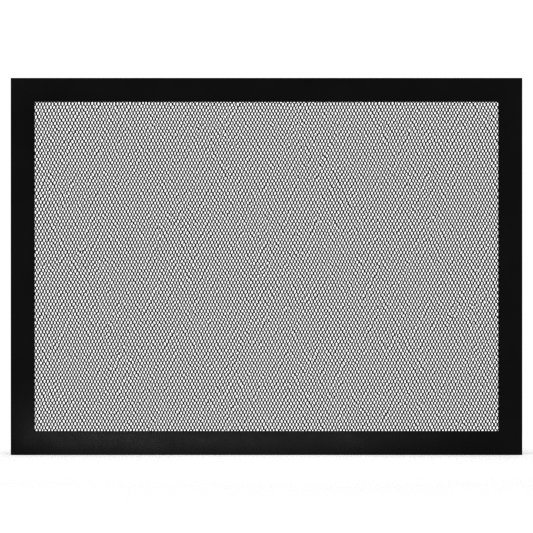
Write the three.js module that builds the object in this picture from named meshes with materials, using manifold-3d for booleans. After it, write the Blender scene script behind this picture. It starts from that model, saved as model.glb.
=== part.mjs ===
// A single-panel fireplace screen: a flat black steel frame of mitred angle, filled with
// woven spiral wire mesh, standing on its bottom rail and two rear feet that swing in to store flat.
//
// Frame of the part: X to the right seen from the front, Y from the front face to the back, Z up.
// The origin is on the floor, in the middle of the footprint. Lengths are millimetres.

import * as THREE from 'three';
import { mergeVertices } from 'three/addons/utils/BufferGeometryUtils.js';
import Module from 'manifold-3d';

const wasm = await Module();
wasm.setup();

// ---------- driving dimensions ----------

const INCH = 25.4;
const CLEARANCE = 0.3; // left between parts that touch on the real screen
const CUT_MARGIN = 1; // how far a cutting shape runs past what it cuts

// Frame: unequal steel angle, 1-3/4 x 1-1/4 x 1/8 in, mitred at the corners.
const frameWidth = 38 * INCH;
const frameHeight = 28 * INCH;
const faceWidth = 1.75 * INCH; // leg of the angle that faces the room
const frameDepth = 1.25 * INCH; // leg that runs back from the outer edge
const steelThickness = INCH / 8;

// Woven mesh: flattened spirals of round wire, each hooked into the next.
const meshThickness = 3.2;
const meshMargin = 18; // how far the mesh runs under the frame's face
const foldPitch = 24.2; // one fold stands for eight spirals
const foldWall = 0.42; // sheet with the weight of the woven wire

// Retaining strips, held by nuts on studs welded to the back of the frame's face.
const stripWidth = 0.75 * INCH;
const stripThickness = INCH / 8;
const stripSetback = 3; // from the edge of the opening, so that no strip shows from the front
const studRadius = 2;
const studHoleRadius = 2.4;
const studPastNut = 1.5;
const nutAcrossFlats = 7;
const nutHeight = 3.2;
const studsAcross = 5; // on the top and bottom strips
const studsUp = 3; // on each side strip
const studEndInset = 24; // from a side strip's end to its first stud

// Swinging rear feet on three-knuckle hinges.
const barrelRadius = 6;
const boreRadius = 3.3;
const pinRadius = 3;
const pinPastLeaf = 2; // how far the pin's lower end stands out
const pinHeadRadius = 5;
const pinHeadHeight = 2;
const pinChamfer = 0.6;
const leafThickness = 3;
const leafReach = 20; // how far a leaf runs into the frame, along the side leg
const leafHeight = 20;
const knuckleHeight = 70;
const washerHeight = 1;
const washerRadius = 5.6;
const hingeBottom = 14; // from the floor to the lower end of the lower fixed knuckle
const finReach = 3; // how far the stop fin stands out from the barrel
const finThickness = 3;
const finSink = 0.2; // from the bore to the fin's root, inside the barrel's wall
const footThickness = 4.76;
const footLength = 150; // from the hinge axis to the end of the plate
const footHeight = 112;
const footNeck = 8; // from the hinge axis to the plate's free edge beside the fixed knuckles
const footHeadDepth = 14; // the plate's depth near its top
const footHeadRounding = 12; // height of the rounded corner at the top
const footThroat = 12; // depth, past the head's, of the bend point of the hollow edge
const footThroatRise = 16; // height of that bend point over the toe
const footArchRise = 14; // height of the bend point of the arched underside over the heel
const footArchEnd = 6; // from the end of the arch to the start of the toe
const weldInset = 2; // from a knuckle's end to the weld that joins it to the plate
const toeLength = 32;
const toeHeight = 14.5;
const capWall = 2.2;
const capLength = 30;

// ---------- positions worked out from them ----------

const hingeOffset = barrelRadius + CLEARANCE; // from the frame's back to the hinge axis
const overallDepth = frameDepth + hingeOffset + footLength + CLEARANCE + capWall;
const frontY = -overallDepth / 2;
const backY = frontY + frameDepth;
const hingeY = backY + hingeOffset;
const hingeX = frameWidth / 2 - steelThickness - CLEARANCE - barrelRadius;

const openingHalfWidth = frameWidth / 2 - faceWidth;
const openingBottom = faceWidth;
const openingTop = frameHeight - faceWidth;

const meshFrontY = frontY + steelThickness + CLEARANCE;
const meshBackY = meshFrontY + meshThickness;
const stripFrontY = meshBackY + CLEARANCE;
const stripBackY = stripFrontY + stripThickness;
const nutFrontY = stripBackY + CLEARANCE;
const studEndY = nutFrontY + nutHeight + studPastNut;

const stripCentre = stripSetback + stripWidth / 2; // from the opening's edge to a strip's centre line
const stripOuter = stripSetback + stripWidth;

// ---------- materials ----------

const powderCoat = new THREE.MeshStandardMaterial({ color: 0x141414, roughness: 0.55, metalness: 0.1 });
const blackWire = new THREE.MeshStandardMaterial({ color: 0x1a1a1a, roughness: 0.4, metalness: 0.3 });
const zincPlate = new THREE.MeshStandardMaterial({ color: 0xb4b6b8, roughness: 0.35, metalness: 0.9 });
const nylon = new THREE.MeshStandardMaterial({ color: 0x2a2a2a, roughness: 0.6, metalness: 0 });
const rubber = new THREE.MeshStandardMaterial({ color: 0x101010, roughness: 0.8, metalness: 0 });

// ---------- helpers ----------

// A closed geometry as a manifold-3d solid.
function solid(geometry) {
  const bare = geometry.clone();
  bare.deleteAttribute('normal');
  bare.deleteAttribute('uv');
  const merged = mergeVertices(bare);
  return new wasm.Manifold(new wasm.Mesh({
    numProp: 3,
    vertProperties: merged.attributes.position.array,
    triVerts: new Uint32Array(merged.index.array),
  }));
}

// A manifold-3d solid as a geometry.
function geometryOf(body) {
  const mesh = body.getMesh();
  const geometry = new THREE.BufferGeometry();
  geometry.setAttribute('position', new THREE.BufferAttribute(mesh.vertProperties, 3));
  geometry.setIndex(new THREE.BufferAttribute(mesh.triVerts, 1));
  geometry.computeVertexNormals();
  return geometry;
}

function block(from, to) {
  const size = to.clone().sub(from);
  const geometry = new THREE.BoxGeometry(size.x, size.y, size.z);
  return geometry.translate(...from.clone().add(to).multiplyScalar(0.5).toArray());
}

function polygon(points) {
  return new THREE.Shape(points.map(([x, y]) => new THREE.Vector2(x, y)));
}

function circleHole(x, y, radius) {
  const hole = new THREE.Path();
  hole.absarc(x, y, radius, 0, 2 * Math.PI, true);
  return hole;
}

function extruded(outline, depth, curveSegments) {
  return new THREE.ExtrudeGeometry(outline, { depth, bevelEnabled: false, curveSegments });
}

// An outline drawn in X and Z, filled from y = front to y = back.
function plateInXZ(outline, front, back, curveSegments = 6) {
  return extruded(outline, back - front, curveSegments).rotateX(Math.PI / 2).translate(0, back, 0);
}

// An upright round bar.
function uprightCylinder(radius, bottom, top, segments = 32) {
  const geometry = new THREE.CylinderGeometry(radius, radius, top - bottom, segments);
  return geometry.rotateX(Math.PI / 2).translate(0, 0, (bottom + top) / 2);
}

function addMesh(parent, name, geometry, material) {
  const mesh = new THREE.Mesh(geometry, material);
  mesh.name = name;
  parent.add(mesh);
  return mesh;
}

// ---------- frame ----------

// One rail of angle, lying along X with its outer edge at z = 0 and its ends mitred for the corners.
function mitredRail(length) {
  const mitreInset = (CLEARANCE / 2) * Math.SQRT2;
  const end = length / 2 - mitreInset;
  const trapezium = (height) => polygon([
    [-end, 0],
    [-end + height, -height],
    [end - height, -height],
    [end, 0],
  ]);
  const face = solid(plateInXZ(trapezium(faceWidth), 0, steelThickness));
  const sideLeg = solid(plateInXZ(trapezium(steelThickness), 0, frameDepth));
  return geometryOf(face.add(sideLeg));
}

function makeFrame() {
  const frame = new THREE.Group();
  const rails = [
    ['top_rail', frameWidth, 0, frameHeight, 0],
    ['bottom_rail', frameWidth, 0, 0, Math.PI],
    ['left_stile', frameHeight, -frameWidth / 2, frameHeight / 2, -Math.PI / 2],
    ['right_stile', frameHeight, frameWidth / 2, frameHeight / 2, Math.PI / 2],
  ];
  for (const [name, length, x, z, turn] of rails) {
    const rail = addMesh(frame, name, mitredRail(length), powderCoat);
    rail.position.set(x, frontY, z);
    rail.rotation.y = turn;
  }
  return frame;
}

// ---------- mesh, strips, studs and nuts ----------

// count values from first to last, equally far apart.
function evenly(count, first, last) {
  return Array.from({ length: count }, (_, i) => first + ((last - first) * i) / (count - 1));
}

// Stud centres as [x, z], by the strip that each one holds.
function studPlaces() {
  const lastX = openingHalfWidth + stripOuter - studEndInset;
  const across = evenly(studsAcross, -lastX, lastX);
  const up = evenly(studsUp, openingBottom + studEndInset, openingTop - studEndInset);
  const sideX = openingHalfWidth + stripCentre;
  return {
    top: across.map((x) => [x, openingTop + stripCentre]),
    bottom: across.map((x) => [x, openingBottom - stripCentre]),
    left: up.map((z) => [-sideX, z]),
    right: up.map((z) => [sideX, z]),
  };
}

const places = studPlaces();

// The woven mesh as an upright folded sheet of the mesh's own thickness and weight.
function wovenMesh() {
  const halfWidth = openingHalfWidth + meshMargin;
  const bottom = openingBottom - meshMargin;
  const top = openingTop + meshMargin;
  const folds = 4 * Math.round(halfWidth / foldPitch);
  const step = (2 * halfWidth) / folds;
  const crest = (i) => (i % 2 ? meshBackY - foldWall : meshFrontY);
  const front = Array.from({ length: folds + 1 }, (_, i) => [-halfWidth + i * step, crest(i)]);
  const back = front.map(([x, y]) => [x, y + foldWall]).reverse();
  const outline = polygon([...front, ...back]);
  let body = solid(extruded(outline, top - bottom, 1).translate(0, 0, bottom));
  for (const [x, z] of Object.values(places).flat()) {
    const hole = new THREE.CylinderGeometry(studHoleRadius, studHoleRadius, 2 * meshThickness, 12);
    body = body.subtract(solid(hole.translate(x, (meshFrontY + meshBackY) / 2, z)));
  }
  return geometryOf(body);
}

function retainingStrip(x0, x1, z0, z1, studs) {
  const outline = polygon([[x0, z0], [x1, z0], [x1, z1], [x0, z1]]);
  outline.holes = studs.map(([x, z]) => circleHole(x, z, studHoleRadius));
  return plateInXZ(outline, stripFrontY, stripBackY, 12);
}

function weldedStud() {
  const start = frontY + steelThickness + CLEARANCE;
  const geometry = new THREE.CylinderGeometry(studRadius, studRadius, studEndY - start, 16);
  return geometry.translate(0, (start + studEndY) / 2, 0);
}

function hexNut() {
  const cornerRadius = nutAcrossFlats / Math.sqrt(3);
  const corners = Array.from({ length: 6 }, (_, i) => [
    cornerRadius * Math.cos((i * Math.PI) / 3),
    cornerRadius * Math.sin((i * Math.PI) / 3),
  ]);
  const outline = polygon(corners);
  outline.holes = [circleHole(0, 0, studRadius + CLEARANCE)];
  return plateInXZ(outline, nutFrontY, nutFrontY + nutHeight, 16);
}

function makeInfill() {
  const infill = new THREE.Group();
  addMesh(infill, 'woven_mesh', wovenMesh(), blackWire);

  const inner = openingHalfWidth + stripSetback;
  const outer = openingHalfWidth + stripOuter;
  const low = openingBottom - stripSetback;
  const high = openingTop + stripSetback;
  const strips = {
    top: [-outer, outer, high, high + stripWidth],
    bottom: [-outer, outer, low - stripWidth, low],
    left: [-outer, -inner, low + CLEARANCE, high - CLEARANCE],
    right: [inner, outer, low + CLEARANCE, high - CLEARANCE],
  };
  for (const [side, [x0, x1, z0, z1]] of Object.entries(strips)) {
    const strip = retainingStrip(x0, x1, z0, z1, places[side]);
    addMesh(infill, `mesh_retainer_${side}`, strip, powderCoat);
    places[side].forEach(([x, z], i) => {
      const stud = addMesh(infill, `weld_stud_${side}_${i + 1}`, weldedStud(), zincPlate);
      const nut = addMesh(infill, `hex_nut_${side}_${i + 1}`, hexNut(), zincPlate);
      stud.position.set(x, 0, z);
      nut.position.set(x, 0, z);
    });
  }
  return infill;
}

// ---------- rear feet ----------
// Each foot is drawn about its own hinge axis, with the room's side of the axis at -Y and the
// frame's outer edge at -X. outward is -1 for the left foot and 1 for the right.

const washerSpace = washerHeight + 2 * CLEARANCE;
const lowerLeafTop = hingeBottom + leafHeight;
const knuckleBottom = lowerLeafTop + washerSpace;
const knuckleTop = knuckleBottom + knuckleHeight;
const upperLeafBottom = knuckleTop + washerSpace;
const upperLeafTop = upperLeafBottom + leafHeight;

// A fixed knuckle with the leaf that is welded inside the side leg of the frame.
function hingeLeaf(bottom, outward) {
  const top = bottom + leafHeight;
  const barrel = solid(uprightCylinder(barrelRadius, bottom, top));
  const outerFace = outward * barrelRadius;
  const innerFace = outward * (barrelRadius - leafThickness);
  const leaf = block(
    new THREE.Vector3(Math.min(outerFace, innerFace), -hingeOffset - leafReach, bottom),
    new THREE.Vector3(Math.max(outerFace, innerFace), 0, top),
  );
  const bore = solid(uprightCylinder(boreRadius, bottom - CUT_MARGIN, top + CUT_MARGIN));
  return geometryOf(barrel.add(solid(leaf)).subtract(bore));
}

// The moving knuckle, with a fin that meets the frame's back edge when the foot is square to it.
function footKnuckle(outward) {
  const barrel = solid(uprightCylinder(barrelRadius, knuckleBottom, knuckleTop));
  const finTip = outward * (barrelRadius + finReach);
  const finRoot = outward * (boreRadius + finSink);
  const fin = block(
    new THREE.Vector3(Math.min(finTip, finRoot), -barrelRadius, knuckleBottom),
    new THREE.Vector3(Math.max(finTip, finRoot), -barrelRadius + finThickness, knuckleTop),
  );
  const bore = solid(uprightCylinder(boreRadius, knuckleBottom - CUT_MARGIN, knuckleTop + CUT_MARGIN));
  return geometryOf(barrel.add(solid(fin)).subtract(bore));
}

// The foot's plate: a bracket with a hollowed rear edge, an arched underside and a straight toe.
function footPlate() {
  const toeStart = footLength - toeLength;
  const soleHeight = capWall + CLEARANCE;
  const toeTop = soleHeight + toeHeight;
  const weldEdge = barrelRadius + CLEARANCE;
  const weldBottom = knuckleBottom + weldInset;
  const weldTop = knuckleTop - weldInset;
  const headTop = hingeBottom + footHeight;
  const headEdge = footNeck + footHeadDepth;

  const outline = new THREE.Shape();
  outline.moveTo(footNeck, hingeBottom);
  outline.quadraticCurveTo(toeStart / 2, hingeBottom + footArchRise, toeStart - footArchEnd, soleHeight);
  outline.lineTo(footLength, soleHeight);
  outline.lineTo(footLength, toeTop);
  outline.lineTo(toeStart, toeTop);
  outline.quadraticCurveTo(
    headEdge + footThroat, toeTop + footThroatRise,
    headEdge, headTop - footHeadRounding,
  );
  outline.quadraticCurveTo(headEdge, headTop, footNeck, headTop);
  outline.lineTo(footNeck, weldTop);
  outline.lineTo(weldEdge, weldTop);
  outline.lineTo(weldEdge, weldBottom);
  outline.lineTo(footNeck, weldBottom);

  // The outline is drawn in Y and Z, and its thickness lies across X.
  const axes = new THREE.Matrix4().makeBasis(
    new THREE.Vector3(0, 1, 0),
    new THREE.Vector3(0, 0, 1),
    new THREE.Vector3(1, 0, 0),
  );
  const curveSegments = 20;
  const plate = extruded(outline, footThickness, curveSegments).applyMatrix4(axes);
  return plate.translate(-footThickness / 2, 0, 0);
}

// A rubber boot pushed over the toe, with its underside on the floor.
function toeCap() {
  const innerHalf = footThickness / 2 + CLEARANCE;
  const outerHalf = innerHalf + capWall;
  const innerTop = capWall + CLEARANCE + toeHeight + CLEARANCE;
  const end = footLength + CLEARANCE;
  const start = end + capWall - capLength;
  const boot = solid(block(
    new THREE.Vector3(-outerHalf, start, 0),
    new THREE.Vector3(outerHalf, end + capWall, innerTop + capWall),
  ));
  const pocket = solid(block(
    new THREE.Vector3(-innerHalf, start - CUT_MARGIN, capWall),
    new THREE.Vector3(innerHalf, end, innerTop),
  ));
  return geometryOf(boot.subtract(pocket));
}

function hingePin() {
  const bottom = hingeBottom - pinPastLeaf;
  const shoulder = upperLeafTop + CLEARANCE;
  const top = shoulder + pinHeadHeight;
  const profile = [
    [0, bottom],
    [pinRadius - pinChamfer, bottom],
    [pinRadius, bottom + pinChamfer],
    [pinRadius, shoulder],
    [pinHeadRadius, shoulder],
    [pinHeadRadius, top - pinChamfer],
    [pinHeadRadius - pinChamfer, top],
    [0, top],
  ].map(([r, z]) => new THREE.Vector2(r, z));
  return new THREE.LatheGeometry(profile, 32).rotateX(Math.PI / 2);
}

function hingeWasher(bottom) {
  const outline = new THREE.Shape();
  outline.absarc(0, 0, washerRadius, 0, 2 * Math.PI, false);
  outline.holes = [circleHole(0, 0, boreRadius)];
  return extruded(outline, washerHeight, 16).translate(0, 0, bottom);
}

function makeFoot(side, outward) {
  const foot = new THREE.Group();
  foot.position.set(outward * hingeX, hingeY, 0);
  addMesh(foot, `hinge_leaf_lower_${side}`, hingeLeaf(hingeBottom, outward), powderCoat);
  addMesh(foot, `hinge_leaf_upper_${side}`, hingeLeaf(upperLeafBottom, outward), powderCoat);
  addMesh(foot, `hinge_washer_lower_${side}`, hingeWasher(lowerLeafTop + CLEARANCE), nylon);
  addMesh(foot, `hinge_washer_upper_${side}`, hingeWasher(knuckleTop + CLEARANCE), nylon);
  addMesh(foot, `hinge_pin_${side}`, hingePin(), zincPlate);
  addMesh(foot, `foot_knuckle_${side}`, footKnuckle(outward), powderCoat);
  addMesh(foot, `foot_plate_${side}`, footPlate(), powderCoat);
  addMesh(foot, `toe_cap_${side}`, toeCap(), rubber);
  return foot;
}

// ---------- the screen ----------

const screen = new THREE.Group();
screen.add(makeFrame(), makeInfill(), makeFoot('left', -1), makeFoot('right', 1));

export default screen;
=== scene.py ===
"""A flat fireplace screen: a black steel angle frame filled with woven spiral mesh, on swinging rear feet."""

import math
import random

import bmesh
import bpy
import numpy as np
from bpy.props import FloatProperty, FloatVectorProperty, IntProperty, PointerProperty
from mathutils import Matrix, Vector


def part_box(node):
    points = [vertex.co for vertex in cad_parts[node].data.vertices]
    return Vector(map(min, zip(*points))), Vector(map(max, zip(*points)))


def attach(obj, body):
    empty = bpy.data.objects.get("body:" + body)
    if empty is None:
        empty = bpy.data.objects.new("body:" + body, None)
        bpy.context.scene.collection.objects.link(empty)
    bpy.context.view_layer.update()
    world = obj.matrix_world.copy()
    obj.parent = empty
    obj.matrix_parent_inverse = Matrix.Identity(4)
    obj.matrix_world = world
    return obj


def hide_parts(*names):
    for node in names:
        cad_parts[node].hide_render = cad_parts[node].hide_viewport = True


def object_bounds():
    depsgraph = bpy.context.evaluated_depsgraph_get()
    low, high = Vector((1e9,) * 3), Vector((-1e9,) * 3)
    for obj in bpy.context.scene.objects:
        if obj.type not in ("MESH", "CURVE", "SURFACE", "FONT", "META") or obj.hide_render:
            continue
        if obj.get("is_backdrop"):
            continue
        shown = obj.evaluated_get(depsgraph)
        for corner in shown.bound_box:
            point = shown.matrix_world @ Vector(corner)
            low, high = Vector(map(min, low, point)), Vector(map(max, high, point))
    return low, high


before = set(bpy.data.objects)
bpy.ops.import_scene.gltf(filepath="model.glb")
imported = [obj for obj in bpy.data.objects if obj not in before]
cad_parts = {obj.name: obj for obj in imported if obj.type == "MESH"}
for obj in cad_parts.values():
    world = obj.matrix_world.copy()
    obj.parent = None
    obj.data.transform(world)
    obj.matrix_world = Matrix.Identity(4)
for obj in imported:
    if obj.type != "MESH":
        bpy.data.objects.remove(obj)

bl_info = {
    "name": "Fireplace Screen",
    "version": (1, 0, 0),
    "blender": (4, 5, 0),
    "location": "View3D > Sidebar > Screen",
    "description": "Builds a fireplace screen with a steel frame, woven wire mesh and swinging rear feet",
    "category": "Add Mesh",
}

MM = 0.001
SIDES = (("left", -1), ("right", 1))
EDGES = ("top", "bottom", "left", "right")
STUDS_ON = {"top": 5, "bottom": 5, "left": 3, "right": 3}
RAILS = ("top_rail", "bottom_rail", "left_stile", "right_stile")
UPRIGHT = (0, 0, 1)
WELD_GAP = 1e-6  # points this near each other are one point
SHARP = 40  # an edge that turns by more degrees than this is eased
EASED = {  # the radius that each kind of piece's edges are eased to
    "strip": 0.35 * MM,
    "washer": 0.2 * MM,
    "pin": 0.2 * MM,
    "leaf": 0.3 * MM,
    "knuckle": 0.3 * MM,
    "plate": 0.6 * MM,
    "cap": 0.9 * MM,
}


# ---------------------------------------------------------------- sizes and colours


class ScreenFrameSizes(bpy.types.PropertyGroup):
    """The steel of the frame and how its edges are eased."""

    steel: FloatProperty(
        name="Steel thickness",
        description="Thickness of both legs of the angle",
        default=3.175 * MM,
        unit="LENGTH",
    )
    face: FloatProperty(
        name="Face width",
        description="Width of the leg that faces the room",
        default=44.45 * MM,
        unit="LENGTH",
    )
    edge: FloatProperty(
        name="Edge radius",
        description="Radius of the steel's eased edges",
        default=0.45 * MM,
        unit="LENGTH",
    )
    root: FloatProperty(
        name="Root radius",
        description="Radius of the fillet where the two legs of the angle meet",
        default=2.2 * MM,
        unit="LENGTH",
    )


class ScreenMeshSizes(bpy.types.PropertyGroup):
    """The weave of the wire mesh."""

    wire: FloatProperty(
        name="Wire diameter",
        description="Diameter of the round wire",
        default=1.2 * MM,
        unit="LENGTH",
    )
    spacing: FloatProperty(
        name="Spiral spacing",
        description="Distance from one spiral to the next, half a diamond's width",
        default=3.02 * MM,
        unit="LENGTH",
    )
    turn: FloatProperty(
        name="Turn height",
        description="Height of one turn of a spiral, which is one diamond",
        default=11.65 * MM,
        unit="LENGTH",
    )
    sides: IntProperty(
        name="Wire sides",
        description="Flat sides round the wire",
        default=6,
        min=4,
    )
    band: IntProperty(
        name="Spirals in a band",
        description="Spirals that are kept in one object",
        default=30,
        min=2,
    )
    seed: IntProperty(
        name="Seed",
        description="Picks the way the weave wanders",
        default=7,
    )


class ScreenColours(bpy.types.PropertyGroup):
    """The finishes."""

    powder: FloatVectorProperty(
        name="Powder coat",
        description="Colour of the frame's powder coat",
        default=(0.03, 0.03, 0.0305),
        subtype="COLOR",
        min=0,
        max=1,
    )
    wire: FloatVectorProperty(
        name="Wire enamel",
        description="Colour of the baked enamel on the wire",
        default=(0.009, 0.009, 0.009),
        subtype="COLOR",
        min=0,
        max=1,
    )
    zinc: FloatVectorProperty(
        name="Zinc plate",
        description="Colour of the plated studs, nuts and pins",
        default=(0.52, 0.53, 0.54),
        subtype="COLOR",
        min=0,
        max=1,
    )
    rubber: FloatVectorProperty(
        name="Rubber",
        description="Colour of the toe caps",
        default=(0.013, 0.013, 0.013),
        subtype="COLOR",
        min=0,
        max=1,
    )
    nylon: FloatVectorProperty(
        name="Nylon",
        description="Colour of the hinge washers",
        default=(0.03, 0.03, 0.03),
        subtype="COLOR",
        min=0,
        max=1,
    )
    floor: FloatVectorProperty(
        name="Floor",
        description="Colour of the studio floor",
        default=(0.55, 0.55, 0.55),
        subtype="COLOR",
        min=0,
        max=1,
    )


# ---------------------------------------------------------------- materials


class Finish:
    """A new material with its shader, and short ways to add and join nodes."""

    def __init__(self, name):
        self.material = bpy.data.materials.new(name)
        self.material.use_nodes = True
        self.tree = self.material.node_tree
        self.shader = self.tree.nodes["Principled BSDF"]
        self.place = self.tree.nodes.new("ShaderNodeTexCoord").outputs["Object"]

    def set(self, **values):
        """Sets the shader's own sockets, each named by its label in small letters."""
        for name, value in values.items():
            self.shader.inputs[name.replace("_", " ").title()].default_value = value

    def noise(self, scale, detail=2.0, roughness=0.5):
        """Noise that stays with the piece, with scale features to the metre."""
        node = self.tree.nodes.new("ShaderNodeTexNoise")
        node.inputs["Scale"].default_value = scale
        node.inputs["Detail"].default_value = detail
        node.inputs["Roughness"].default_value = roughness
        self.tree.links.new(self.place, node.inputs["Vector"])
        return node.outputs["Fac"]

    def ramp(self, value, stops):
        """A colour for each value, between the two stops."""
        node = self.tree.nodes.new("ShaderNodeValToRGB")
        elements = node.color_ramp.elements
        for element, (position, colour) in zip(elements, stops):
            element.position = position
            element.color = (*colour, 1)
        self.tree.links.new(value, node.inputs["Fac"])
        return node.outputs["Color"]

    def distance(self):
        """How far the surface is from the origin."""
        node = self.tree.nodes.new("ShaderNodeVectorMath")
        node.operation = "LENGTH"
        self.tree.links.new(self.place, node.inputs[0])
        return node.outputs["Value"]

    def spread(self, value, low, high, start=0.3, end=0.7):
        """Values from start to end, spread out from low to high."""
        node = self.tree.nodes.new("ShaderNodeMapRange")
        node.inputs["From Min"].default_value = start
        node.inputs["From Max"].default_value = end
        node.inputs["To Min"].default_value = low
        node.inputs["To Max"].default_value = high
        self.tree.links.new(value, node.inputs["Value"])
        return node.outputs["Result"]

    def bump(self, height, distance):
        """The surface raised by up to distance where height is 1."""
        node = self.tree.nodes.new("ShaderNodeBump")
        node.inputs["Strength"].default_value = 1.0
        node.inputs["Distance"].default_value = distance
        self.tree.links.new(height, node.inputs["Height"])
        return node.outputs["Normal"]

    def join(self, value, socket):
        self.tree.links.new(value, self.shader.inputs[socket])


def shade(colour, factor):
    """The colour made darker or lighter by factor."""
    return tuple(channel * factor for channel in colour)


def powder_coat(colour):
    """Matte black powder coat: faint mottling, a fine orange peel and an uneven dullness."""
    finish = Finish("powder_coat")
    mottle = finish.noise(scale=9, detail=5, roughness=0.6)
    finish.join(finish.ramp(mottle, [(0.35, shade(colour, 0.85)), (0.7, shade(colour, 1.25))]), "Base Color")
    finish.join(finish.spread(finish.noise(scale=23, detail=4), 0.44, 0.54), "Roughness")
    finish.join(finish.bump(finish.noise(scale=620, detail=3), 0.012 * MM), "Normal")
    return finish.material


def wire_enamel(colour):
    """Baked black enamel, a little greyer in patches where the wire has dulled."""
    finish = Finish("wire_enamel")
    patches = finish.noise(scale=14, detail=4, roughness=0.6)
    finish.join(finish.ramp(patches, [(0.35, shade(colour, 0.8)), (0.75, shade(colour, 1.7))]), "Base Color")
    finish.set(roughness=0.42)
    return finish.material


def zinc_plate(colour):
    """Bright zinc plating with a fine, slightly cloudy grain."""
    finish = Finish("zinc_plate")
    cloud = finish.noise(scale=240, detail=4, roughness=0.65)
    finish.join(finish.ramp(cloud, [(0.3, shade(colour, 0.8)), (0.7, shade(colour, 1.12))]), "Base Color")
    finish.join(finish.spread(finish.noise(scale=500, detail=3), 0.26, 0.42), "Roughness")
    finish.set(metallic=1.0)
    return finish.material


def moulded(name, colour, roughness, grain, depth):
    """A moulded plastic or rubber surface with a fine grain."""
    finish = Finish(name)
    tone = finish.noise(scale=90, detail=3)
    finish.join(finish.ramp(tone, [(0.3, shade(colour, 0.85)), (0.7, shade(colour, 1.3))]), "Base Color")
    finish.join(finish.bump(finish.noise(scale=grain, detail=2), depth), "Normal")
    finish.set(roughness=roughness)
    return finish.material


def material_of(name):
    """The named finish, made the first time that it is asked for."""
    colours = bpy.context.scene.screen_colours
    makers = {
        "powder_coat": lambda: powder_coat(tuple(colours.powder)),
        "wire_enamel": lambda: wire_enamel(tuple(colours.wire)),
        "zinc_plate": lambda: zinc_plate(tuple(colours.zinc)),
        "toe_rubber": lambda: moulded("toe_rubber", tuple(colours.rubber), 0.72, 1800, 0.03 * MM),
        "washer_nylon": lambda: moulded("washer_nylon", tuple(colours.nylon), 0.45, 900, 0.01 * MM),
    }
    return bpy.data.materials.get(name) or makers[name]()


# ---------------------------------------------------------------- making a piece


def finish_piece(name, bm, body, finish, stands_for=(), crease=35):
    """Turns bm into a finished object that rides on body, smooth up to creases past the given degrees."""
    mesh = bpy.data.meshes.new(name)
    bm.to_mesh(mesh)
    bm.free()
    return finish_mesh(name, mesh, body, finish, stands_for, crease)


def finish_mesh(name, mesh, body, finish, stands_for=(), crease=35):
    """The same for a mesh that is already whole. Without a crease it is smooth all over."""
    mesh.materials.append(material_of(finish))
    mesh.shade_smooth()
    if crease:
        mesh.set_sharp_from_angle(angle=math.radians(crease))
    piece = bpy.data.objects.new(name, mesh)
    bpy.context.scene.collection.objects.link(piece)
    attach(piece, body)
    if stands_for:
        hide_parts(*stands_for)
    return piece


def merged_copy(node):
    """A CAD node's shape as a bmesh, with its loose triangles welded into flat faces."""
    bm = bmesh.new()
    bm.from_mesh(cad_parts[node].data)
    bmesh.ops.remove_doubles(bm, verts=bm.verts, dist=WELD_GAP)
    bmesh.ops.dissolve_limit(bm, angle_limit=math.radians(0.5), verts=bm.verts, edges=bm.edges)
    return bm


def sharp_edges(bm, past=SHARP):
    return [edge for edge in bm.edges if abs(edge.calc_face_angle(0)) > math.radians(past)]


def round_off(bm, edges, radius, segments, clamp=False):
    """Rounds the given edges. Clamped, the rounding stops where two edges' roundings meet."""
    bmesh.ops.bevel(
        bm,
        geom=edges,
        offset=radius,
        segments=segments,
        affect="EDGES",
        profile=0.5,
        material=-1,
        clamp_overlap=clamp,
    )


def ease_edges(bm, radius, segments=2, past=SHARP):
    """Rounds every edge that turns by more than the given degrees."""
    round_off(bm, sharp_edges(bm, past), radius, segments, clamp=True)


def eased_copy(node, kind, **how):
    """A CAD node's shape with its edges eased as on that kind of piece."""
    bm = merged_copy(node)
    ease_edges(bm, EASED[kind], **how)
    return bm


def corners_of(node):
    """The low and the high corner of a CAD node's box."""
    low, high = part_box(node)
    return Vector(low), Vector(high)


def ring(bm, segments, radius, place):
    """A circle of edges, laid by the matrix place. Returns its points in order."""
    made = bmesh.ops.create_circle(bm, segments=segments, radius=radius, matrix=place)
    return made["verts"]


def edges_among(points):
    inside = set(points)
    return [edge for edge in {e for p in points for e in p.link_edges} if set(edge.verts) <= inside]


def swept(bm, places, segments, radii):
    """A round bar through the given matrices, with a radius at each, closed at both ends."""
    points = ring(bm, segments, radii[0], places[0])
    edges = edges_among(points)
    bmesh.ops.contextual_create(bm, geom=points)
    here = places[0] @ Matrix.Scale(radii[0], 4)
    for place, radius in zip(places[1:], radii[1:]):
        there = place @ Matrix.Scale(radius, 4)
        made = bmesh.ops.extrude_edge_only(bm, edges=edges)["geom"]
        points = [item for item in made if isinstance(item, bmesh.types.BMVert)]
        edges = [item for item in made if isinstance(item, bmesh.types.BMEdge)]
        bmesh.ops.transform(bm, matrix=there @ here.inverted(), verts=points)
        edges = [edge for edge in edges if set(edge.verts) <= set(points)]
        here = there
    bmesh.ops.contextual_create(bm, geom=points)
    bmesh.ops.recalc_face_normals(bm, faces=bm.faces)


BEAD_SIDES = 10
BEAD_RIPPLE = 1.7 * MM  # length of one drop of the filler
BEAD_END = 0.35  # radius at either end, as a share of the bead's
BEAD_DROP = ((0.15, 0.9), (0.5, 1.06), (0.85, 0.9))  # places along a drop, and the radius there


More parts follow.
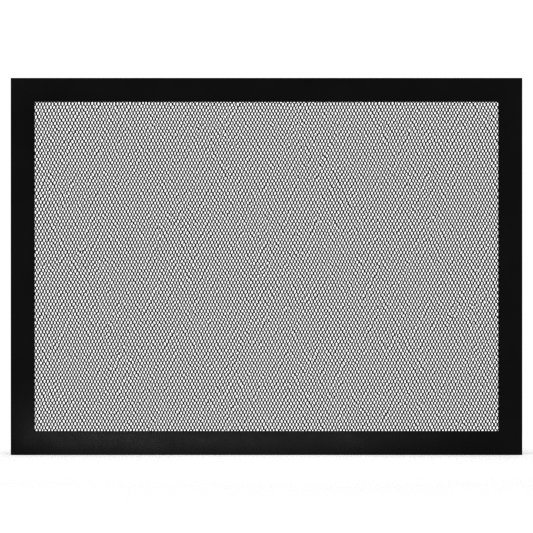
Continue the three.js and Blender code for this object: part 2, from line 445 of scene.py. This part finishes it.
def weld_bead(name, start, end, radius, body):
    """A run of weld from start to end, with a ripple for each drop of the filler."""
    start, end = Vector(start), Vector(end)
    along = end - start
    turn = along.to_track_quat("Z", "Y").to_matrix().to_4x4()
    drops = max(2, round(along.length / BEAD_RIPPLE))
    fractions, radii = [0], [BEAD_END * radius]
    for drop in range(drops):
        for part, swell in BEAD_DROP:
            fractions.append((drop + part) / drops)
            radii.append(swell * radius)
    fractions.append(1)
    radii.append(BEAD_END * radius)
    places = [Matrix.Translation(start + along * fraction) @ turn for fraction in fractions]
    bm = bmesh.new()
    swept(bm, places, BEAD_SIDES, radii)
    return finish_piece(name, bm, body, "powder_coat", crease=60)


# ---------------------------------------------------------------- frame


class SCREEN_OT_frame(bpy.types.Operator):
    """Builds the welded angle frame, with ground corners and weld beads inside them"""

    bl_idname = "screen.frame"
    bl_label = "Welded Frame"

    def execute(self, context):
        sizes = context.scene.screen_frame
        boxes = [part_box(rail) for rail in RAILS]
        low = Vector([min(box[0][axis] for box in boxes) for axis in range(3)])
        high = Vector([max(box[1][axis] for box in boxes) for axis in range(3)])
        bm = bmesh.new()
        bmesh.ops.create_cube(bm, size=1)
        bmesh.ops.scale(bm, vec=high - low, verts=bm.verts)
        bmesh.ops.translate(bm, vec=(low + high) / 2, verts=bm.verts)

        # Hollowed from behind, the block is a tray with the frame's side legs for walls.
        front = min(bm.faces, key=self.depth_of)
        back = max(bm.faces, key=self.depth_of)
        self.inset(bm, back, sizes.steel)
        floor = bmesh.ops.extrude_discrete_faces(bm, faces=[back])["faces"][0]
        bmesh.ops.translate(bm, vec=(0, low.y + sizes.steel - high.y, 0), verts=floor.verts)

        # The opening is then cut through the tray's floor.
        self.inset(bm, front, sizes.face)
        self.inset(bm, floor, sizes.face - sizes.steel)
        rims = [*front.edges, *floor.edges]
        bmesh.ops.delete(bm, geom=[front, floor], context="FACES_ONLY")
        bmesh.ops.bridge_loops(bm, edges=rims)
        bmesh.ops.recalc_face_normals(bm, faces=bm.faces)

        root = [edge for edge in bm.edges if self.is_root(edge, low, sizes)]
        rest = [edge for edge in sharp_edges(bm) if edge not in root]
        round_off(bm, root, sizes.root, segments=4)
        round_off(bm, [edge for edge in rest if edge.is_valid], sizes.edge, segments=3)
        finish_piece("welded_frame", bm, "panel", "powder_coat", RAILS)
        self.weld_corners(low, high, sizes)
        return {"FINISHED"}

    @staticmethod
    def depth_of(face):
        return face.calc_center_median().y

    @staticmethod
    def inset(bm, face, width):
        """Leaves a border of the given width round the face, which becomes the part inside it."""
        bmesh.ops.inset_individual(bm, faces=[face], thickness=width, use_even_offset=True)

    @staticmethod
    def is_root(edge, low, sizes):
        """True for the four long edges where the inside of the side leg meets the back of the face."""
        depth = low.y + sizes.steel
        if any(abs(point.co.y - depth) > WELD_GAP for point in edge.verts):
            return False
        return edge.calc_face_angle_signed(0) < -math.radians(SHARP)

    @staticmethod
    def weld_corners(low, high, sizes):
        """Lays a bead up the inside of each corner, from the face's back to near the leg's back edge."""
        radius = 1.8 * MM
        stop = 3 * MM  # left bare at the leg's back edge
        sink = sizes.steel + 0.35 * radius  # so that the bead is part buried in both walls
        for side, x in (("left", low.x + sink), ("right", high.x - sink)):
            for end, z in (("bottom", low.z + sink), ("top", high.z - sink)):
                start = (x, low.y + sizes.steel + radius, z)
                finish = (x, high.y - stop, z)
                weld_bead(f"corner_weld_{end}_{side}", start, finish, radius, "panel")


# ---------------------------------------------------------------- woven mesh


def spiral_turn(sizes, thickness):
    """One turn of a flattened spiral about the upright axis, open at both ends."""
    bend = (thickness - sizes.wire) / 2
    run = sizes.spacing + sizes.wire - 2 * bend
    # Each bend is half a regular octagon whose sides touch the circle of the bend.
    corners = 4
    corner_angle = math.pi / corners
    reach = bend / math.cos(corner_angle / 2)
    side_length = 2 * bend * math.tan(corner_angle / 2)
    around = 2 * corners * side_length + 2 * run
    stations = []
    travelled = 0.0
    for side in (1, -1):
        for corner in range(corners):
            angle = side * math.pi / 2 - (corner + 0.5) * corner_angle
            spot = Vector((side * run / 2 + reach * math.cos(angle), reach * math.sin(angle), 0))
            heading = Vector((math.sin(angle), -math.cos(angle), 0))
            stations.append((spot, heading, travelled))
            travelled += side_length
        travelled += run
    spot, heading, _ = stations[0]
    stations.append((spot, heading, around))

    places = []
    for spot, heading, length in stations:
        spot = spot + Vector((0, 0, sizes.turn * length / around))
        rise = heading * around + Vector((0, 0, sizes.turn))
        tangent = rise.normalized()
        across = Vector(UPRIGHT).cross(tangent).normalized()
        facing = Matrix((across, tangent.cross(across), tangent)).transposed().to_4x4()
        places.append(Matrix.Translation(spot) @ facing)

    bm = bmesh.new()
    points = ring(bm, sizes.sides, sizes.wire / 2, places[0])
    edges = edges_among(points)
    for here, there in zip(places, places[1:]):
        made = bmesh.ops.extrude_edge_only(bm, edges=edges)["geom"]
        points = [item for item in made if isinstance(item, bmesh.types.BMVert)]
        bmesh.ops.transform(bm, matrix=there @ here.inverted(), verts=points)
        edges = edges_among(points)
    bmesh.ops.recalc_face_normals(bm, faces=bm.faces)
    return bm


def stacked(bm, count, step, weld):
    """Repeats the whole of bm count times, each copy step further on, welding the joins if asked."""
    source = bpy.data.meshes.new("stack_source")
    bm.to_mesh(source)
    bm.free()
    holder = bpy.data.objects.new("stack_source", source)
    bpy.context.scene.collection.objects.link(holder)
    array = holder.modifiers.new("stack", "ARRAY")
    array.count = count
    array.use_relative_offset = False
    array.use_constant_offset = True
    array.constant_offset_displace = step
    array.use_merge_vertices = weld
    array.merge_threshold = 10 * WELD_GAP
    evaluated = holder.evaluated_get(bpy.context.evaluated_depsgraph_get())
    result = bmesh.new()
    result.from_mesh(evaluated.to_mesh())
    evaluated.to_mesh_clear()
    bpy.data.objects.remove(holder)
    bpy.data.meshes.remove(source)
    return result


class Slack:
    """How far the weave wanders: long waves all over, and short slips along the slanting wires in patches."""

    # Each kind of wave: how many, their lengths, their angles from X in degrees, and their push each way.
    LONG = {"count": 9, "length": (0.08, 0.26), "angle": (0, 180), "push": (0.75 * MM, 0.36 * MM, 0.6 * MM)}
    PATCH = {"count": 8, "length": (0.04, 0.12), "angle": (-60, 60), "push": (1.0,)}
    SLIP = {"count": 14, "length": (0.013, 0.03), "angle": (-40, 40), "push": (0.52 * MM,)}
    OWN = {"count": 2, "length": (0.04, 0.13), "push": 0.14 * MM}  # each spiral's own rise
    LEAN = 0.2  # more patches slip to the right than to the left
    CLAMPED = 0.05  # the mesh is held flat at the strips and free to bow this far inside them
    PATCH_EDGE = 2  # how sharply a patch begins and ends
    MOST_SPIRALS = 1000  # keeps the spirals' seeds apart from those of the next seed

    def __init__(self, sizes, low, high):
        chance = random.Random(sizes.seed)
        self.seed = sizes.seed
        self.slope = 2 * sizes.spacing / sizes.turn
        self.low, self.high = low, high
        self.long_waves = self.waves(chance, self.LONG)
        self.patch_waves = self.waves(chance, self.PATCH)
        self.slip_waves = self.waves(chance, self.SLIP)

    @staticmethod
    def waves(chance, kind):
        """Each wave's number along X and along Z, its phase, and how far it pushes each way."""
        made = []
        for _ in range(kind["count"]):
            number = 2 * math.pi / chance.uniform(*kind["length"])
            angle = math.radians(chance.uniform(*kind["angle"]))
            push = [way * chance.uniform(-1, 1) for way in kind["push"]]
            phase = chance.uniform(0, 2 * math.pi)
            made.append((number * math.cos(angle), number * math.sin(angle), phase, push))
        return made

    @staticmethod
    def added(waves, x, z, way=0):
        """What the waves add up to at each place, in one of the ways that they push."""
        total = 0
        for along_x, along_z, phase, push in waves:
            total = total + push[way] * np.sin(along_x * x + along_z * z + phase)
        return total

    def freedom(self, x, z):
        """From 0 where the mesh is clamped to 1 where it is free to bow."""
        inside = np.minimum.reduce([x - self.low.x, self.high.x - x, z - self.low.z, self.high.z - z])
        share = np.clip(inside / self.CLAMPED, 0, 1)
        return share * share * (3 - 2 * share)

    def shift(self, x, z):
        """The shift of the whole weave at each place, along X, Y and Z."""
        total = [self.added(self.long_waves, x, z, way) for way in range(3)]
        total[1] *= self.freedom(x, z)
        lean = np.clip(self.PATCH_EDGE * (self.added(self.patch_waves, x, z) + self.LEAN), -1, 1)
        slip = self.added(self.slip_waves, x, z)
        total[0] += slip * lean * self.slope
        total[2] += slip * np.abs(lean)
        return total

    def own_rise(self, spiral, z):
        """How far one spiral is wound up or down past its neighbours at each height."""
        chance = random.Random(self.seed * self.MOST_SPIRALS + spiral)
        rise = np.zeros_like(z)
        for _ in range(self.OWN["count"]):
            number = 2 * math.pi / chance.uniform(*self.OWN["length"])
            rise += self.OWN["push"] * np.sin(number * z + chance.uniform(0, 2 * math.pi))
        return rise


class SCREEN_OT_woven_mesh(bpy.types.Operator):
    """Weaves the wire mesh from upright flattened spirals, each hooked into the next"""

    bl_idname = "screen.woven_mesh"
    bl_label = "Woven Mesh"

    def execute(self, context):
        sizes = context.scene.screen_mesh
        low, high = corners_of("woven_mesh")
        thickness = high.y - low.y
        turns = int((high.z - low.z) / sizes.turn - 0.5)
        spirals = int((high.x - low.x - sizes.wire) / sizes.spacing)
        frame_low, frame_high = (Vector(corner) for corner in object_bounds())
        face = context.scene.screen_frame.face
        border = Vector((face, 0, face))
        slack = Slack(sizes, frame_low + border, frame_high - border)
        pair = self.spiral_pair(sizes, thickness, turns)
        middle = (low + high) / 2
        height = (turns + 0.5) * sizes.turn
        first = Vector((
            middle.x - spirals * sizes.spacing / 2 + sizes.spacing / 2,
            middle.y,
            middle.z - height / 2,
        ))
        bands = math.ceil(spirals / sizes.band)
        width = 2 * math.ceil(spirals / bands / 2)
        for number in range(bands):
            done = number * width
            self.band(pair, min(width, spirals - done), done, first, slack, sizes, number + 1)
        pair.free()
        return {"FINISHED"}

    @staticmethod
    def spiral_pair(sizes, thickness, turns):
        """Two neighbouring spirals at full height. The second is half a turn higher, where it hooks in."""
        one = stacked(spiral_turn(sizes, thickness), turns, (0, 0, sizes.turn), True)
        open_ends = [edge for edge in one.edges if edge.is_boundary]
        bmesh.ops.holes_fill(one, edges=open_ends, sides=sizes.sides)
        bmesh.ops.recalc_face_normals(one, faces=one.faces)
        return stacked(one, 2, (sizes.spacing, 0, sizes.turn / 2), False)

    @staticmethod
    def band(pair, count, done, first, slack, sizes, number):
        """A band of spirals, the first of which is number done of the whole mesh."""
        points_each = len(pair.verts) // 2
        whole = stacked(pair.copy(), math.ceil(count / 2), (2 * sizes.spacing, 0, 0), False)
        bmesh.ops.translate(whole, vec=first + Vector((done * sizes.spacing, 0, 0)), verts=whole.verts)
        name = f"woven_mesh_band_{number}"
        mesh = bpy.data.meshes.new(name)
        whole.to_mesh(mesh)
        whole.free()
        flat = np.empty(3 * len(mesh.vertices), dtype=np.float32)
        mesh.vertices.foreach_get("co", flat)
        points = flat.reshape(-1, 3).astype(float)
        shifts = slack.shift(points[:, 0], points[:, 2])
        for spiral in range(len(points) // points_each):
            own = slice(spiral * points_each, (spiral + 1) * points_each)
            shifts[2][own] += slack.own_rise(done + spiral, points[own, 2])
        for axis in range(3):
            points[:, axis] += shifts[axis]
        mesh.vertices.foreach_set("co", points.astype(np.float32).ravel())
        mesh.update()
        finish_mesh(name, mesh, "panel", "wire_enamel", ("woven_mesh",), crease=0)


# ---------------------------------------------------------------- strips, studs and nuts


class SCREEN_OT_retainers(bpy.types.Operator):
    """Eases the edges of the four flat strips that clamp the mesh behind the frame"""

    bl_idname = "screen.retainers"
    bl_label = "Retaining Strips"

    def execute(self, context):
        for edge in EDGES:
            node = f"mesh_retainer_{edge}"
            bm = eased_copy(node, "strip")
            finish_piece(f"retaining_strip_{edge}", bm, "panel", "powder_coat", (node,))
        return {"FINISHED"}


STUD_SIDES = 16
STUD_TIP = 0.3 * MM  # length of the chamfer at the stud's end
STUD_TIP_DEPTH = 0.4 * MM
THREADED_SHARE = 0.55  # of the stud's length
THREAD_PITCH = 0.7 * MM
THREAD_DEPTH = 0.35 * MM
THREAD_STOP = 0.35 * MM  # from the end of the thread to the stud's end
THREAD_ROWS = 6  # rings of points in one turn of the thread


def threaded_stud(low, high):
    """A stud along Y from its smooth root to its threaded end, with the box from low to high."""
    radius = (high.x - low.x) / 2
    step = THREAD_PITCH / THREAD_ROWS
    length = high.y - low.y
    threaded = THREADED_SHARE * length
    rows = round(threaded / step)
    lengths = [0, length - threaded] + [length - threaded + step * (row + 1) for row in range(rows)]
    lengths = [value for value in lengths if value < length - STUD_TIP] + [length - STUD_TIP, length]
    radii = [radius] * (len(lengths) - 1) + [radius - STUD_TIP_DEPTH]
    turn = Matrix.Rotation(-math.pi / 2, 4, "X")
    foot = Vector(((low.x + high.x) / 2, low.y, (low.z + high.z) / 2))
    places = [Matrix.Translation(foot + Vector((0, value, 0))) @ turn for value in lengths]
    bm = bmesh.new()
    swept(bm, places, STUD_SIDES, radii)
    start = foot.y + length - threaded
    for point in bm.verts:
        depth = point.co.y - start
        if depth < step or point.co.y > high.y - THREAD_STOP:
            continue
        core = Vector((foot.x, point.co.y, foot.z))
        out = point.co - core
        phase = (depth / THREAD_PITCH - math.atan2(out.z, out.x) / (2 * math.pi)) % 1
        cut = THREAD_DEPTH * (1 - abs(2 * phase - 1))
        point.co = core + out * (1 - cut / radius)
    return bm


def hexagon_reach(angle, across_flats):
    """Distance from the middle of a hexagon to its edge in the direction of angle."""
    sector = math.pi / 3
    return across_flats / 2 / math.cos((angle + sector / 2) % sector - sector / 2)


NUT_SIDES = 48
NUT_RIM = 0.94  # radius of the flat round end, as a share of half the width across flats
NUT_SINK = 0.35 * MM  # depth and width of the countersink
NUT_SLOPE = math.radians(30)  # of the cone that cuts the corners back
NUT_PLAY = 0.05 * MM  # between the stud and the bore


def chamfered_nut(low, high, bore):
    """A hexagon nut along Y with corners cut back by a cone on both ends and a countersunk bore."""
    across_flats = high.z - low.z
    middle = (low + high) / 2
    rim = NUT_RIM * across_flats / 2
    half = (high.y - low.y) / 2
    # Each loop round the nut: which radius it has, and how far along Y it is from the middle.
    loops = [
        ("bore", -half + NUT_SINK),
        ("sink", -half),
        ("rim", -half),
        ("hexagon", -half),
        ("hexagon", half),
        ("rim", half),
        ("sink", half),
        ("bore", half - NUT_SINK),
    ]
    bm = bmesh.new()
    made = []
    for kind, along in loops:
        points = ring(bm, NUT_SIDES, 1, Matrix.Rotation(math.pi / 2, 4, "X"))
        for point in points:
            angle = math.atan2(point.co.z, point.co.x)
            reach = {"bore": bore, "sink": bore + NUT_SINK, "rim": rim}.get(kind)
            drop = 0
            if kind == "hexagon":
                reach = hexagon_reach(angle, across_flats)
                drop = (reach - rim) * math.tan(NUT_SLOPE)
            distance = along - math.copysign(drop, along)
            point.co = middle + Vector((reach * math.cos(angle), distance, reach * math.sin(angle)))
        made.append(edges_among(points))
    for one, other in zip(made, made[1:] + made[:1]):
        bmesh.ops.bridge_loops(bm, edges=one + other)
    bmesh.ops.recalc_face_normals(bm, faces=bm.faces)
    return bm


class SCREEN_OT_fasteners(bpy.types.Operator):
    """Makes the threaded studs and the hexagon nuts that hold the strips"""

    bl_idname = "screen.fasteners"
    bl_label = "Studs and Nuts"

    def execute(self, context):
        for edge, count in STUDS_ON.items():
            for number in range(1, count + 1):
                self.fastener(f"{edge}_{number}")
        return {"FINISHED"}

    @staticmethod
    def fastener(place):
        stud = f"weld_stud_{place}"
        low, high = corners_of(stud)
        bore = (high.x - low.x) / 2 + NUT_PLAY
        finish_piece(f"threaded_stud_{place}", threaded_stud(low, high), "panel", "zinc_plate", (stud,))
        nut = f"hex_nut_{place}"
        low, high = corners_of(nut)
        finish_piece(f"nut_{place}", chamfered_nut(low, high, bore), "panel", "zinc_plate", (nut,), crease=25)


# ---------------------------------------------------------------- hinges and feet


class SCREEN_OT_hinges(bpy.types.Operator):
    """Finishes the fixed leaves, washers and pins of the two hinges"""

    bl_idname = "screen.hinges"
    bl_label = "Hinges"

    def execute(self, context):
        for side, outward in SIDES:
            for level in ("lower", "upper"):
                self.leaf(side, outward, level)
                washer = f"hinge_washer_{level}_{side}"
                bm = eased_copy(washer, "washer")
                finish_piece(f"friction_washer_{level}_{side}", bm, "panel", "washer_nylon", (washer,))
            pin = f"hinge_pin_{side}"
            bm = eased_copy(pin, "pin")
            finish_piece(f"pivot_pin_{side}", bm, "panel", "zinc_plate", (pin,))
        return {"FINISHED"}

    @staticmethod
    def leaf(side, outward, level):
        node = f"hinge_leaf_{level}_{side}"
        bm = eased_copy(node, "leaf")
        finish_piece(f"fixed_leaf_{level}_{side}", bm, "panel", "powder_coat", (node,))
        low, high = corners_of(node)
        radius = 1.5 * MM
        x = (high.x if outward > 0 else low.x) - 0.3 * radius * outward
        y = low.y - 0.2 * radius
        start = (x, y, low.z + radius)
        end = (x, y, high.z - radius)
        weld_bead(f"leaf_weld_{level}_{side}", start, end, radius, "panel")


class SCREEN_OT_feet(bpy.types.Operator):
    """Finishes the two swinging feet, with their weld beads and rubber toe caps"""

    bl_idname = "screen.feet"
    bl_label = "Swinging Feet"

    def execute(self, context):
        for side, outward in SIDES:
            body = f"{side}_foot"
            plate = f"foot_plate_{side}"
            bm = eased_copy(plate, "plate", segments=3)
            finish_piece(f"bracket_plate_{side}", bm, body, "powder_coat", (plate,))

            knuckle = f"foot_knuckle_{side}"
            bm = eased_copy(knuckle, "knuckle")
            finish_piece(f"moving_knuckle_{side}", bm, body, "powder_coat", (knuckle,))
            self.weld_plate(side, plate, knuckle, body)

            cap = f"toe_cap_{side}"
            bm = merged_copy(cap)
            self.thicken_lip(bm)
            ease_edges(bm, EASED["cap"], segments=4, past=60)
            finish_piece(f"rubber_toe_{side}", bm, body, "toe_rubber", (cap,))
        return {"FINISHED"}

    @staticmethod
    def thicken_lip(bm):
        """Swells the sides and top of the boot round its open end, as a rolled lip does."""
        lip, slope, swell = 3.5 * MM, 0.7 * MM, 0.7 * MM
        mouth = min(point.co.y for point in bm.verts)
        sides = [max(point.co[axis] for point in bm.verts) for axis in (0, 2)]
        middle = (sides[0] + min(point.co.x for point in bm.verts)) / 2
        for y in (mouth + lip, mouth + lip + slope):
            whole = [*bm.verts, *bm.edges, *bm.faces]
            bmesh.ops.bisect_plane(bm, geom=whole, plane_co=(0, y, 0), plane_no=(0, 1, 0))
        for point in bm.verts:
            if point.co.y > mouth + lip + WELD_GAP:
                continue
            if abs(abs(point.co.x - middle) - (sides[0] - middle)) < WELD_GAP:
                point.co.x += math.copysign(swell, point.co.x - middle)
            if abs(point.co.z - sides[1]) < WELD_GAP:
                point.co.z += swell

    @staticmethod
    def weld_plate(side, plate, knuckle, body):
        """A bead on each face of the plate where it meets the barrel."""
        low, high = corners_of(knuckle)
        plate_low, plate_high = corners_of(plate)
        radius = 1.9 * MM
        stop = 3 * MM  # left bare at either end of the barrel
        y = plate_low.y - 0.1 * radius
        for number, x in enumerate((plate_low.x, plate_high.x), 1):
            x += math.copysign(0.25 * radius, x - (plate_low.x + plate_high.x) / 2)
            start = (x, y, low.z + stop)
            end = (x, y, high.z - stop)
            weld_bead(f"plate_weld_{side}_{number}", start, end, radius, body)


# ---------------------------------------------------------------- stage


class SCREEN_OT_stage(bpy.types.Operator):
    """Sets up the floor, the soft studio light, the white surround and the camera"""

    bl_idname = "screen.stage"
    bl_label = "Studio"

    # Each softbox: name, place, what it faces, width and height, power, and whether it only
    # shows as a reflection in the black steel and leaves the floor alone.
    SOFTBOXES = (
        ("key_softbox", (-3.4, -2.0, 3.0), (0, 0, 0.3), (1.6, 1.6), 30, False),
        ("fill_softbox", (3.2, -2.0, 1.8), (0, 0, 0.4), (1.8, 1.8), 14, False),
        ("rear_softbox", (0.6, 3.0, 2.6), (0, 0, 0.3), (2.0, 2.0), 15, False),
        ("low_glow", (-0.1, -0.4, 0.013), (0, 0, -0.02), (0.76, 0.026), 1.32, True),
        ("rear_glow", (0.4, 4.2, 2.2), (0, 0, 0.3), (5.0, 3.0), 190, True),
        ("left_glow", (-3.6, 0.9, 1.8), (0, 0, 0.3), (2.4, 2.4), 50, True),
        ("right_glow", (3.6, 0.9, 1.8), (0, 0, 0.3), (2.4, 2.4), 50, True),
    )

    FLOOR_RADIUS = 1.6
    FLOOR_MIDDLE = (0, -0.9, 0)
    NEAR, FAR = 0.15, 0.9  # distances from the origin between which the floor's glow fades
    NEAR_GLOW, FAR_GLOW = 0.58, 0.44  # most glow near the screen, which shades the floor

    def execute(self, context):
        scene = context.scene
        low, high = (Vector(corner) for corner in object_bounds())
        self.floor(scene)
        self.surround(scene)
        for name, place, target, size, power, reflected_only in self.SOFTBOXES:
            self.light(scene, name, place, target, size, power, reflected_only)
        self.camera(scene, low, high)
        scene.view_settings.view_transform = "Standard"
        scene.view_settings.look = "None"
        scene.view_settings.gamma = 0.45
        scene.cycles.use_denoising = False
        return {"FINISHED"}

    def floor(self, scene):
        """A round pale floor with a faint glow, so that it runs into the white surround."""
        bm = bmesh.new()
        bmesh.ops.create_circle(bm, cap_ends=True, segments=128, radius=self.FLOOR_RADIUS)
        bmesh.ops.translate(bm, vec=self.FLOOR_MIDDLE, verts=bm.verts)
        mesh = bpy.data.meshes.new("studio_floor")
        bm.to_mesh(mesh)
        bm.free()
        finish = Finish("studio_floor")
        finish.set(base_color=(*scene.screen_colours.floor, 1), roughness=0.9, emission_color=(1, 1, 1, 1))
        finish.shader.inputs["Specular IOR Level"].default_value = 0.0
        glow = finish.spread(finish.distance(), self.NEAR_GLOW, self.FAR_GLOW, self.NEAR, self.FAR)
        finish.join(glow, "Emission Strength")
        mesh.materials.append(finish.material)
        floor = bpy.data.objects.new("studio_floor", mesh)
        scene.collection.objects.link(floor)
        floor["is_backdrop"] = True

    @staticmethod
    def surround(scene):
        """White where it is looked at, and a dim grey as a light."""
        world = bpy.data.worlds.new("studio_surround")
        world.use_nodes = True
        tree = world.node_tree
        seen = tree.nodes["Background"]
        seen.inputs["Color"].default_value = (1, 1, 1, 1)
        seen.inputs["Strength"].default_value = 1.0
        dim = tree.nodes.new("ShaderNodeBackground")
        dim.inputs["Color"].default_value = (1, 1, 1, 1)
        dim.inputs["Strength"].default_value = 0.9
        mix = tree.nodes.new("ShaderNodeMixShader")
        path = tree.nodes.new("ShaderNodeLightPath")
        tree.links.new(path.outputs["Is Camera Ray"], mix.inputs["Fac"])
        tree.links.new(dim.outputs["Background"], mix.inputs[1])
        tree.links.new(seen.outputs["Background"], mix.inputs[2])
        tree.links.new(mix.outputs["Shader"], tree.nodes["World Output"].inputs["Surface"])
        scene.world = world

    @staticmethod
    def light(scene, name, place, target, size, power, reflected_only):
        """One softbox, which the camera doesn't see."""
        lamp = bpy.data.lights.new(name, "AREA")
        lamp.shape = "RECTANGLE"
        lamp.size, lamp.size_y = size
        lamp.energy = power
        light = bpy.data.objects.new(name, lamp)
        light.location = place
        light.rotation_euler = (Vector(target) - Vector(place)).to_track_quat("-Z", "Y").to_euler()
        light.visible_camera = False
        light.visible_diffuse = not reflected_only
        scene.collection.objects.link(light)

    @staticmethod
    def camera(scene, low, high):
        """Square on to the panel's front face, at the height of its middle, through a long lens."""
        distance = 5.5
        seen_width = 1.0064
        camera = bpy.data.cameras.new("camera")
        camera.sensor_width = 36
        camera.lens = camera.sensor_width * distance / seen_width
        camera.clip_end = 100
        holder = bpy.data.objects.new("camera", camera)
        holder.location = ((low.x + high.x) / 2, low.y - distance, (low.z + high.z) / 2)
        holder.rotation_euler = (math.pi / 2, 0, 0)
        scene.collection.objects.link(holder)
        scene.camera = holder


# ---------------------------------------------------------------- the add-on


STEPS = (
    SCREEN_OT_frame,
    SCREEN_OT_woven_mesh,
    SCREEN_OT_retainers,
    SCREEN_OT_fasteners,
    SCREEN_OT_hinges,
    SCREEN_OT_feet,
    SCREEN_OT_stage,
)


class SCREEN_PT_panel(bpy.types.Panel):
    """Lists the steps that build the screen, with the sizes and colours that they use"""

    bl_idname = "SCREEN_PT_panel"
    bl_label = "Fireplace Screen"
    bl_space_type = "VIEW_3D"
    bl_region_type = "UI"
    bl_category = "Screen"

    def draw(self, context):
        layout = self.layout
        for group in ("screen_frame", "screen_mesh", "screen_colours"):
            box = layout.box()
            settings = getattr(context.scene, group)
            for name in settings.__annotations__:
                box.prop(settings, name)
        for step in STEPS:
            layout.operator(step.bl_idname)


CLASSES = (ScreenFrameSizes, ScreenMeshSizes, ScreenColours, *STEPS, SCREEN_PT_panel)


def register():
    for cls in CLASSES:
        bpy.utils.register_class(cls)
    bpy.types.Scene.screen_frame = PointerProperty(type=ScreenFrameSizes)
    bpy.types.Scene.screen_mesh = PointerProperty(type=ScreenMeshSizes)
    bpy.types.Scene.screen_colours = PointerProperty(type=ScreenColours)


def unregister():
    del bpy.types.Scene.screen_colours
    del bpy.types.Scene.screen_mesh
    del bpy.types.Scene.screen_frame
    for cls in reversed(CLASSES):
        bpy.utils.unregister_class(cls)


def main():
    register()
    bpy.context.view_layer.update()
    bpy.ops.screen.frame()
    bpy.ops.screen.woven_mesh()
    bpy.ops.screen.retainers()
    bpy.ops.screen.fasteners()
    bpy.ops.screen.hinges()
    bpy.ops.screen.feet()
    bpy.ops.screen.stage()


if __name__ == "__main__":
    main()
